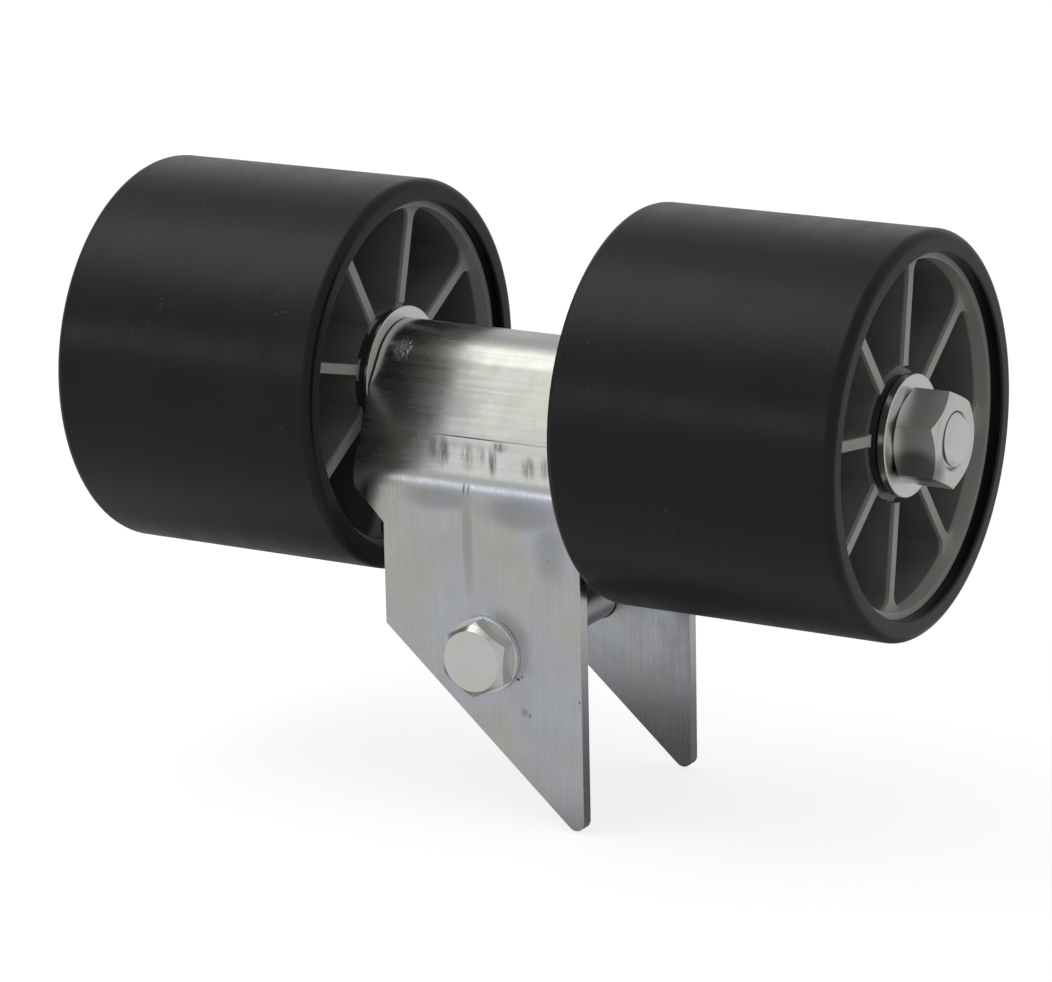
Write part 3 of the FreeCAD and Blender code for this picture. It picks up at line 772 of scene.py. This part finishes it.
def finish(name, make, group):
    """Material by name, made once from its settings."""
    if name not in bpy.data.materials:
        shared_effects()
        make(getattr(bpy.context.scene, group))
    return bpy.data.materials[name]


# Operators, one for each piece or group of like pieces


class ROLLER_OT_sleeves(bpy.types.Operator):
    """Model the two black rubber sleeves"""

    bl_idname = "roller.sleeves"
    bl_label = "Rubber sleeves"

    def execute(self, context):
        settings = context.scene.roller_rubber
        material = finish("Black rubber", rubber_finish, "roller_rubber")
        for side in SIDES:
            piece = turned_ring("rubber_sleeve_" + side, "tyre_" + side, AXLE, ALONG_X,
                                settings.shoulder, settings.lip_round, settings.facets)
            finish_piece(piece, side + "_roller", material, "tyre_rubber", "tyre_" + side)
        return {"FINISHED"}


class ROLLER_OT_hubs(bpy.types.Operator):
    """Model the two ribbed hubs and their four bushes"""

    bl_idname = "roller.hubs"
    bl_label = "Ribbed hubs and bushes"

    def execute(self, context):
        settings = context.scene.roller_hub
        plastic = finish("Moulded hub", hub_finish, "roller_hub")
        dark = finish("Bush plastic", bush_finish, "roller_hub")
        for side in SIDES:
            body = side + "_roller"
            hub = dressed_copy("hub_" + side, "ribbed_hub_" + side, settings.edge_round)
            finish_piece(hub, body, plastic, "hub_plastic", "hub_" + side)
            for end in ("outer", "inner"):
                node = "bush_%s_%s" % (side, end)
                bush = dressed_copy(node, "flanged_" + node, settings.bush_round)
                finish_piece(bush, body, dark, "black_bush", node)
        return {"FINISHED"}


class ROLLER_OT_bracket(bpy.types.Operator):
    """Dress the folded bracket and the tube under its saddle"""

    bl_idname = "roller.bracket"
    bl_label = "Folded bracket"

    def execute(self, context):
        settings = context.scene.roller_plate
        zinc = finish("Zinc plate", plate_finish, "roller_plate")
        bracket = dressed_copy("bracket", "folded_bracket", settings.edge_round)
        finish_piece(bracket, "carrier", zinc, "zinc_plate", "bracket")
        tube = turned_ring("saddle_tube", "axle_tube", AXLE, ALONG_X, settings.tube_round,
                           settings.bore_round)
        finish_piece(tube, "carrier", zinc, "zinc_plate", "axle_tube")
        return {"FINISHED"}


class ROLLER_OT_washers(bpy.types.Operator):
    """Model the washers on the axle and the pivot bolt"""

    bl_idname = "roller.washers"
    bl_label = "Washers"

    def execute(self, context):
        settings = context.scene.roller_fastener
        zinc = finish("Bright zinc", fastener_finish, "roller_fastener")
        axle = ["washer_%s_%s" % (end, side) for end in ("outer", "inner") for side in SIDES]
        pivot = ["pivot_washer_head", "pivot_washer_nut"]
        for node in axle + pivot:
            centre, along = (PIVOT, ALONG_Y) if node in pivot else (AXLE, ALONG_X)
            piece = turned_ring("punched_" + node, node, centre, along, settings.washer_round,
                                settings.washer_round / 2, sides=96, steps=2)
            finish_piece(piece, "carrier", zinc, "zinc_fastener", node)
        return {"FINISHED"}


def tip_radius(node, centre, along):
    """Radius of the flat that a bolt's end chamfer leaves."""
    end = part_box(node)[1].dot(along)
    return max(off_axis(vertex.co, centre, along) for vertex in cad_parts[node].data.vertices
               if vertex.co.dot(along) > end - HAIR)


def threaded_end(piece, name, centre, along, start, end, radius, tip, pitch):
    """Cut a bolt off where its thread starts and give it a thread: a core with a ridge wound
    round it, both cut back at the tip to the bolt's 45 degree end chamfer."""
    depth = THREAD_DEPTH * pitch
    edit_mesh(piece, "VERT")
    bpy.ops.mesh.select_all(action="SELECT")
    bpy.ops.mesh.bisect(plane_co=centre + along * (start - centre.dot(along)), plane_no=along,
                        clear_outer=True, use_fill=True)
    close_mesh()
    root = radius - depth
    core = cylinder(name + "_core", root, start - THREAD_OVERLAP, end, centre, along, CORE_SIDES)
    edit_mesh(core, "EDGE")
    pick(core, "EDGE", lambda edge: on_rim(edge, root, centre, along)
         and edge.verts[0].co.dot(along) > end - MM)
    bpy.ops.mesh.bevel(offset=root - tip, segments=1, affect="EDGES")
    close_mesh()
    ridge = thread_ridge(name + "_ridge", centre, along, start, end, root, depth, pitch)
    for vertex in ridge.data.vertices:
        trim_to_tip(vertex, centre, along, end, tip)
    take(piece)
    core.select_set(True)
    ridge.select_set(True)
    bpy.ops.object.join()
    smooth(piece)


def thread_ridge(name, centre, along, start, end, root, depth, pitch):
    """Ridge of a thread, wound from just behind the start to the tip."""
    turns = (end - start) / pitch
    steps = round(THREAD_STEPS * turns)
    sideways = Vector((0, 0, 1))
    first = centre + along * (start - centre.dot(along)) + sideways * root
    turn = (math.radians(90), 0, 0) if along.x else (math.radians(90), 0, math.radians(90))
    bpy.ops.object.select_all(action="DESELECT")
    bpy.ops.mesh.primitive_circle_add(vertices=4, radius=1.0, location=(0, 0, 0), rotation=turn)
    ridge = bpy.context.active_object
    ridge.name = name
    bpy.ops.object.transform_apply(location=True, rotation=True, scale=True)
    spread = along * (pitch * THREAD_HALF_WIDTH) + sideways * depth
    bpy.ops.transform.resize(value=[value or 1.0 for value in spread])
    bpy.ops.object.transform_apply(location=True, rotation=True, scale=True)
    bpy.ops.transform.translate(value=first - centre)
    bpy.ops.object.transform_apply(location=True, rotation=True, scale=True)
    apply_modifier(ridge, "SCREW", axis="X" if along.x else "Y", angle=math.tau * turns,
                   screw_offset=pitch * turns, steps=steps, render_steps=steps,
                   use_normal_calculate=True)
    edit_mesh(ridge, "EDGE")
    bpy.ops.mesh.select_non_manifold()
    bpy.ops.mesh.edge_face_add()
    bpy.ops.mesh.select_all(action="SELECT")
    bpy.ops.mesh.normals_make_consistent(inside=False)
    close_mesh()
    take(ridge)
    bpy.ops.transform.translate(value=centre)
    bpy.ops.object.transform_apply(location=True, rotation=True, scale=True)
    return ridge


def trim_to_tip(vertex, centre, along, end, tip):
    """Pull a vertex inside the chamfered tip of the bolt."""
    beyond = vertex.co.dot(along) - end + TIP_GAP
    if beyond > 0:
        vertex.co -= along * beyond
    arm = vertex.co - centre
    arm -= along * arm.dot(along)
    limit = tip + end - vertex.co.dot(along)
    if arm.length > limit:
        vertex.co -= arm * (1 - limit / arm.length)


def ease_head(piece, centre, along, flat, drop):
    """Draw in the round flat on a bolt's head and set the corners round it back."""
    front = min(vertex.co.dot(along) for vertex in piece.data.vertices)
    rim = max(off_axis(vertex.co, centre, along) for vertex in piece.data.vertices
              if vertex.co.dot(along) < front + HAIR)
    edit_mesh(piece, "VERT")
    pick(piece, "VERT", lambda vertex: HAIR < vertex.co.dot(along) - front < CORNER_DEPTH)
    bpy.ops.transform.translate(value=along * drop)
    pick(piece, "VERT", lambda vertex: vertex.co.dot(along) < front + HAIR)
    across = Vector((1, 1, 1)) * (flat / rim) + along * (1 - flat / rim)
    bpy.ops.transform.resize(value=across, center_override=centre)
    pick(piece, "EDGE", lambda edge: on_rim(edge, flat, centre, along))
    bpy.ops.mesh.mark_sharp()
    close_mesh()


class ROLLER_OT_bolts(bpy.types.Operator):
    """Model the axle bolt, the pivot bolt and their nuts"""

    bl_idname = "roller.bolts"
    bl_label = "Bolts and nuts"

    def execute(self, context):
        settings = context.scene.roller_fastener
        zinc = finish("Bright zinc", fastener_finish, "roller_fastener")
        dull = finish("Dull zinc", nut_finish, "roller_fastener")
        for name, centre, along, pitch in (("axle", AXLE, ALONG_X, settings.axle_pitch),
                                           ("pivot", PIVOT, ALONG_Y, settings.pivot_pitch)):
            bolt = dressed_copy(name + "_bolt", name + "_bolt_threaded", settings.edge_round)
            if name == "pivot":
                ease_head(bolt, centre, along, settings.head_flat, settings.head_drop)
            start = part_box(name + "_nut")[0].dot(along) + THREAD_OVERLAP
            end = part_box(name + "_bolt")[1].dot(along)
            radius = reach(name + "_nut", centre, along)[0]
            tip = tip_radius(name + "_bolt", centre, along)
            threaded_end(bolt, name + "_thread", centre, along, start, end, radius, tip, pitch)
            finish_piece(bolt, "carrier", zinc, "zinc_fastener", name + "_bolt")
            nut = dressed_copy(name + "_nut", name + "_nut_forged", settings.edge_round)
            finish_piece(nut, "carrier", dull, "zinc_fastener", name + "_nut")
        return {"FINISHED"}


class ROLLER_OT_stage(bpy.types.Operator):
    """Add the floor, the lamps, the world and the camera"""

    bl_idname = "roller.stage"
    bl_label = "Stage"

    def execute(self, context):
        settings = context.scene.roller_stage
        add_floor(settings)
        add_world(settings)
        for name, place, size, power, colour in LAMPS:
            add_lamp(name, place, size, power, colour)
        add_camera(settings)
        context.scene.view_settings.view_transform = "Standard"
        return {"FINISHED"}


# Lamps: name, place and size in metres, power in watts, colour
LAMPS = (
    ("Overhead", (-0.70, -0.33, 1.28), (1.40, 1.40), 2.0, (1.0, 0.99, 0.86)),
    ("Overhead core", (-0.69, -0.33, 1.26), (0.80, 0.80), 2.0, (1.0, 0.99, 0.89)),
    ("Low left", (-1.05, -1.90, 0.60), (1.6, 0.30), 2.25, (0.84, 0.90, 1.0)),
    ("Back", (-0.95, 1.55, 0.95), (1.50, 0.90), 0.55, (0.94, 0.96, 1.0)),
)
TARGET = Vector((0.0, 0.0, 0.06))

# Floor under the part that metal mirrors in shade: its middle and its reach
SHADED_MIDDLE = (-0.05, 0.05)
SHADED_REACH = (0.33, 0.14, 1)


def add_lamp(name, place, size, power, colour):
    """Area lamp that faces the part."""
    data = bpy.data.lights.new(name, "AREA")
    data.shape = "RECTANGLE"
    data.size, data.size_y = size
    data.energy = power
    data.color = colour
    lamp = bpy.data.objects.new(name, data)
    lamp.location = place
    lamp.rotation_euler = (TARGET - Vector(place)).to_track_quat("-Z", "Y").to_euler()
    bpy.context.scene.collection.objects.link(lamp)


def seen_directly(tree, mirrored):
    """Share of the white background: all of it for camera and transmission rays, the given
    share for glossy rays and none for the rest."""
    path = add_node(tree, "LightPath").outputs
    share = maths(tree, "MAXIMUM", path["Is Camera Ray"], path["Is Transmission Ray"])
    return maths(tree, "MAXIMUM", share, maths(tree, "MULTIPLY", path["Is Glossy Ray"], mirrored))


def add_floor(settings):
    """Pale floor under the part that keeps its shadow; right under the part metal mirrors the
    shaded floor alone."""
    shared_effects()
    level = CAD_BOX[0].z - settings.floor_gap
    bpy.ops.object.select_all(action="DESELECT")
    bpy.ops.mesh.primitive_grid_add(x_subdivisions=8, y_subdivisions=8,
                                    size=settings.floor_size, location=(0, 0, level))
    floor = bpy.context.active_object
    floor.name = "floor"
    bpy.ops.object.transform_apply(location=True, rotation=True, scale=True)
    material, tree, shader, place = new_material("Pale floor")
    shader.inputs["Base Color"].default_value = (*settings.floor_colour, 1)
    shader.inputs["Roughness"].default_value = 0.9
    shader.inputs["Specular IOR Level"].default_value = 0.1
    glow = add_node(tree, "Emission", {"Color": (1, 1, 1),
                                       "Strength": settings.floor_glow}).outputs[0]
    both = add_node(tree, "AddShader", {0: shader.outputs[0], 1: glow}).outputs[0]
    under = use_group(tree, "Spot", vector=place, place=(*SHADED_MIDDLE, level),
                      reach=SHADED_REACH, softness=0.45)["Share"]
    open_floor = maths(tree, "MULTIPLY", maths(tree, "SUBTRACT", 1.0, under),
                       settings.mirror_floor)
    share = seen_directly(tree, open_floor)
    mixed = add_node(tree, "MixShader", {0: share, 1: shader.outputs[0], 2: both})
    join(tree, mixed.outputs[0], tree.nodes["Material Output"].inputs["Surface"])
    floor.data.materials.append(material)


def add_world(settings):
    """Even light all round, seen as white."""
    world = bpy.data.worlds.new("Studio")
    bpy.context.scene.world = world
    world.use_nodes = True
    tree = world.node_tree
    share = seen_directly(tree, settings.mirror_share)
    white = maths(tree, "MULTIPLY", share, 1.0 - settings.world_level)
    level = maths(tree, "ADD", settings.world_level, white)
    background = tree.nodes["Background"]
    background.inputs["Color"].default_value = (1, 1, 1, 1)
    join(tree, level, background.inputs["Strength"])


def add_camera(settings):
    """Camera at the photograph's place, angle and roll."""
    turn, rise, roll = settings.camera_turn, settings.camera_rise, settings.camera_roll
    back = Vector((math.sin(turn) * math.cos(rise), -math.cos(turn) * math.cos(rise),
                   math.sin(rise)))
    right = Vector((math.cos(turn), math.sin(turn), 0))
    up = back.cross(right)
    level_right = right * math.cos(roll) + up * math.sin(roll)
    level_up = up * math.cos(roll) - right * math.sin(roll)
    data = bpy.data.cameras.new("Camera")
    data.sensor_width = 36.0
    data.lens = settings.camera_lens
    data.clip_end = 100.0
    camera = bpy.data.objects.new("Camera", data)
    facing = Matrix((level_right, level_up, back)).transposed().to_4x4()
    camera.matrix_world = Matrix.Translation(Vector(settings.camera_place)) @ facing
    bpy.context.scene.collection.objects.link(camera)
    bpy.context.scene.camera = camera


class ROLLER_PT_panel(bpy.types.Panel):
    """Buttons for the pieces and the stage, with their sizes and colours."""

    bl_idname = "ROLLER_PT_panel"
    bl_label = "Double roller"
    bl_space_type = "VIEW_3D"
    bl_region_type = "UI"
    bl_category = "Double roller"

    def draw(self, context):
        for operator in OPERATORS:
            self.layout.operator(operator.bl_idname)
        for name, group in SETTINGS.items():
            box = self.layout.box()
            box.label(text=group.__doc__)
            for key in group.__annotations__:
                box.prop(getattr(context.scene, name), key)


OPERATORS = (
    ROLLER_OT_sleeves,
    ROLLER_OT_hubs,
    ROLLER_OT_bracket,
    ROLLER_OT_washers,
    ROLLER_OT_bolts,
    ROLLER_OT_stage,
)


def register():
    for group in SETTINGS.values():
        bpy.utils.register_class(group)
    for operator in OPERATORS:
        bpy.utils.register_class(operator)
    bpy.utils.register_class(ROLLER_PT_panel)
    for name, group in SETTINGS.items():
        setattr(bpy.types.Scene, name, PointerProperty(type=group))


def unregister():
    for name in SETTINGS:
        delattr(bpy.types.Scene, name)
    bpy.utils.unregister_class(ROLLER_PT_panel)
    for operator in reversed(OPERATORS):
        bpy.utils.unregister_class(operator)
    for group in reversed(SETTINGS.values()):
        bpy.utils.unregister_class(group)


def main():
    """Build the part and its stage."""
    register()
    for operator in OPERATORS:
        group, name = operator.bl_idname.split(".")
        getattr(getattr(bpy.ops, group), name)()


if __name__ == "__main__":
    main()
